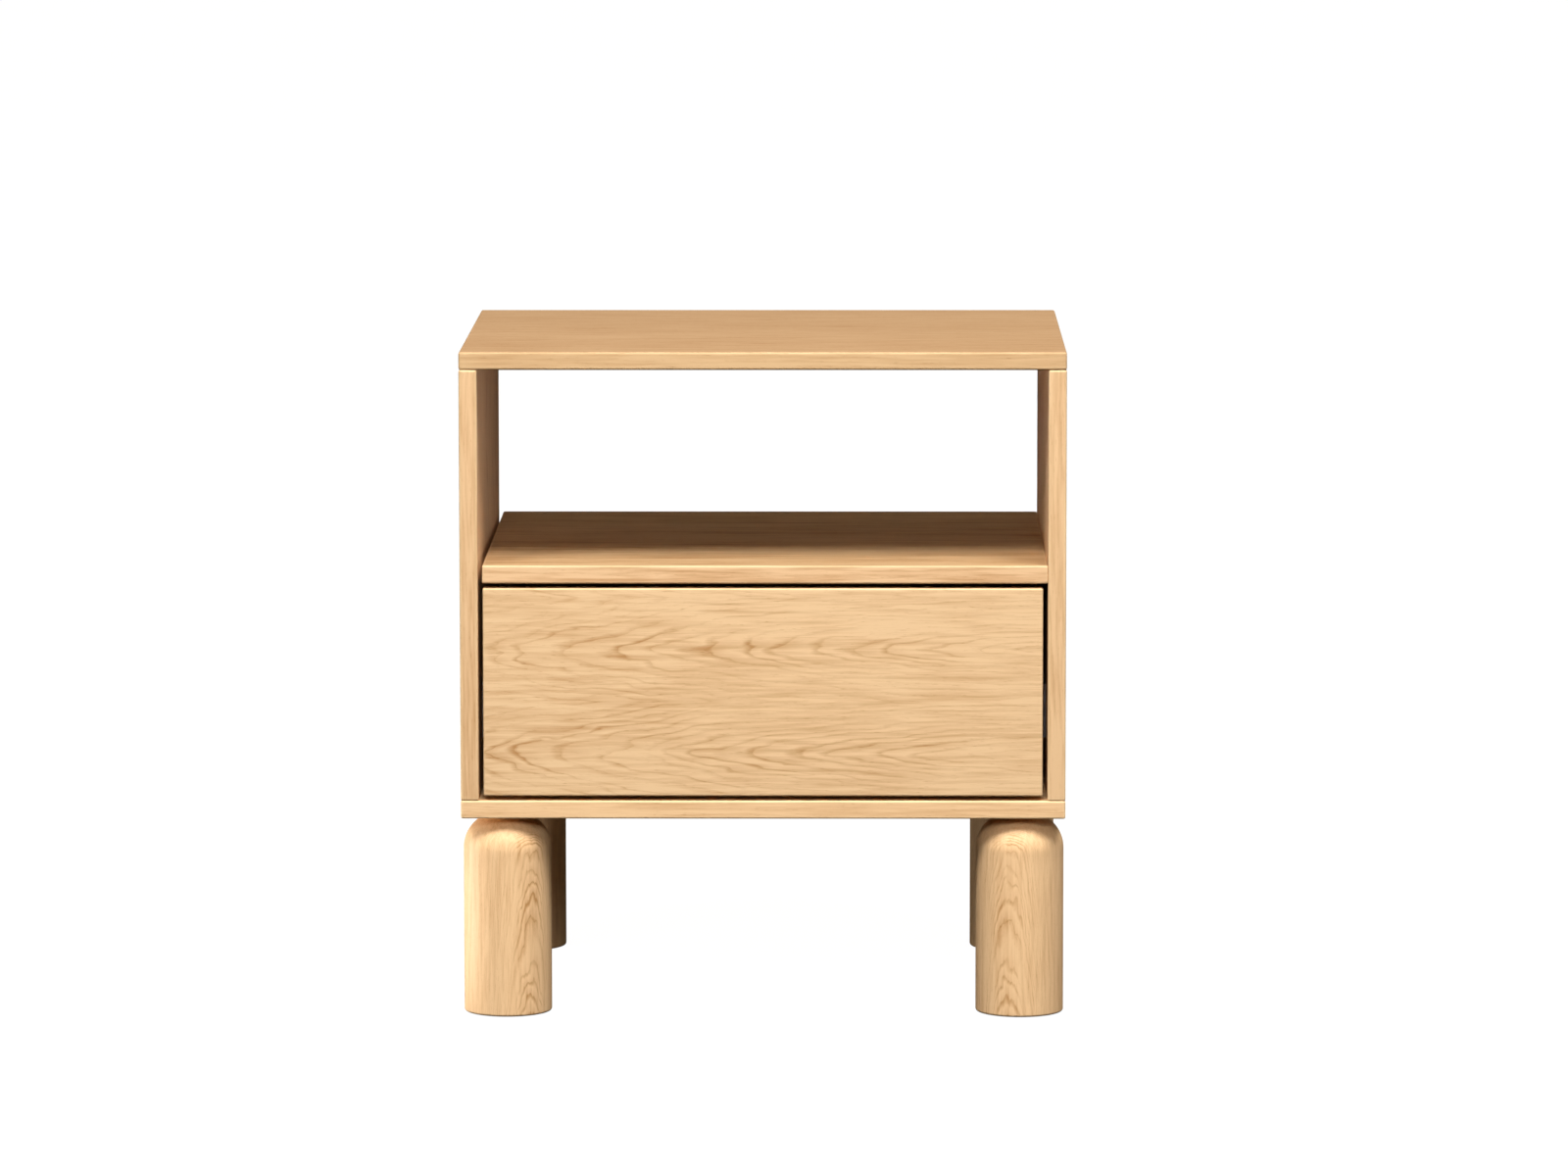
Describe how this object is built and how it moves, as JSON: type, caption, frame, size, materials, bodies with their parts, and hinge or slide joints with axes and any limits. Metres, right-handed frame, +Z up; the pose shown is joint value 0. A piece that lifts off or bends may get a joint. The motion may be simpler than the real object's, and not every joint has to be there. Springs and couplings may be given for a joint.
{
  "type": "nightstand",
  "caption": "Oak bedside table with an open niche over a handleless push-to-open drawer, standing on round legs with domed tops.",
  "frame": {"origin": "on the floor, under the middle of the closed table", "axes": "+X to the viewer's right, +Y to the back (the drawer opens along -Y), +Z up"},
  "size_m": [0.5, 0.4, 0.555],
  "materials": {
    "oak_veneer": "clear matt lacquer over straight-grained oak",
    "oak_solid": "clear matt lacquer on turned oak",
    "back_board": "matt",
    "drawer_box_wood": "satin lacquer on pale plywood",
    "dowel_wood": "raw, fluted look",
    "zinc_steel": "bright zinc plate",
    "bright_steel": "nickel plate",
    "cage_steel": "plain rolled strip",
    "ball_steel": "polished",
    "spring_steel": "drawn wire",
    "grey_plastic": "fine moulded texture",
    "black_plastic": "fine moulded texture",
    "black_rubber": "matt",
    "felt": "pressed felt"
  },
  "bodies": {
    "cabinet": {"back_panel": "back_board", "back_panel_dowels": "dowel_wood", "bottom_dowels": "dowel_wood", "bottom_panel": "oak_veneer", "cabinet_slide_screws": "bright_steel", "leg_bolts": "zinc_steel", "leg_front_left": "oak_solid", "leg_front_right": "oak_solid", "leg_glides": "felt", "leg_nuts": "zinc_steel", "leg_rear_left": "oak_solid", "leg_rear_right": "oak_solid", "push_latch_housing": "grey_plastic", "push_latch_screws": "bright_steel", "push_latch_spring": "spring_steel", "shelf": "oak_veneer", "shelf_pins": "bright_steel", "side_panel_left": "oak_veneer", "side_panel_right": "oak_veneer", "slide_outer_left": "zinc_steel", "slide_outer_right": "zinc_steel", "slide_stop_left": "black_plastic", "slide_stop_right": "black_plastic", "top_dowels": "dowel_wood", "top_panel": "oak_veneer"},
    "drawer": {"drawer_front": "oak_veneer", "drawer_sub_front": "drawer_box_wood", "drawer_side_left": "drawer_box_wood", "drawer_side_right": "drawer_box_wood", "drawer_back": "drawer_box_wood", "drawer_bottom": "drawer_box_wood", "drawer_dowels": "dowel_wood", "drawer_front_screws": "bright_steel", "drawer_bottom_screws": "bright_steel", "drawer_slide_screws": "bright_steel", "slide_inner_left": "zinc_steel", "slide_inner_right": "zinc_steel", "strike_plate": "zinc_steel", "strike_screws": "bright_steel"},
    "latch_plunger": {"push_latch_plunger": "grey_plastic", "push_latch_buffer": "black_rubber"},
    "middle_channel_left": {"slide_middle_left": "zinc_steel"},
    "outer_cage_left": {"ball_cage_outer_left": "cage_steel", "balls_outer_left": "ball_steel"},
    "inner_cage_left": {"ball_cage_inner_left": "cage_steel", "balls_inner_left": "ball_steel"},
    "middle_channel_right": {"slide_middle_right": "zinc_steel"},
    "outer_cage_right": {"ball_cage_outer_right": "cage_steel", "balls_outer_right": "ball_steel"},
    "inner_cage_right": {"ball_cage_inner_right": "cage_steel", "balls_inner_right": "ball_steel"}
  },
  "joints": [
    {"name": "drawer_slide", "type": "slide", "parent": "cabinet", "child": "drawer", "axis": [0, -1, 0], "range_m": [-0.0025, 0.3]},
    {"name": "middle_channel_slide_left", "type": "slide", "parent": "cabinet", "child": "middle_channel_left", "axis": [0, -1, 0], "range_m": [-0.00126, 0.15]},
    {"name": "outer_cage_roll_left", "type": "slide", "parent": "cabinet", "child": "outer_cage_left", "axis": [0, -1, 0], "range_m": [-0.00063, 0.07501]},
    {"name": "inner_cage_roll_left", "type": "slide", "parent": "cabinet", "child": "inner_cage_left", "axis": [0, -1, 0], "range_m": [-0.00188, 0.22501]},
    {"name": "middle_channel_slide_right", "type": "slide", "parent": "cabinet", "child": "middle_channel_right", "axis": [0, -1, 0], "range_m": [-0.00126, 0.15]},
    {"name": "outer_cage_roll_right", "type": "slide", "parent": "cabinet", "child": "outer_cage_right", "axis": [0, -1, 0], "range_m": [-0.00063, 0.07501]},
    {"name": "inner_cage_roll_right", "type": "slide", "parent": "cabinet", "child": "inner_cage_right", "axis": [0, -1, 0], "range_m": [-0.00188, 0.22501]},
    {"name": "latch_plunger_push", "type": "slide", "parent": "cabinet", "child": "latch_plunger", "axis": [0, -1, 0], "range_m": [-0.00035, 0.038], "deforming": ["push_latch_spring"]}
  ],
  "couplings": [
    {"joint": "middle_channel_slide_left", "follows": "drawer_slide", "ratio": 0.5},
    {"joint": "outer_cage_roll_left", "follows": "drawer_slide", "ratio": 0.25},
    {"joint": "inner_cage_roll_left", "follows": "drawer_slide", "ratio": 0.75},
    {"joint": "middle_channel_slide_right", "follows": "drawer_slide", "ratio": 0.5},
    {"joint": "outer_cage_roll_right", "follows": "drawer_slide", "ratio": 0.25},
    {"joint": "inner_cage_roll_right", "follows": "drawer_slide", "ratio": 0.75},
    {"joint": "latch_plunger_push", "follows": "drawer_slide", "ratio": 0.1266}
  ]
}
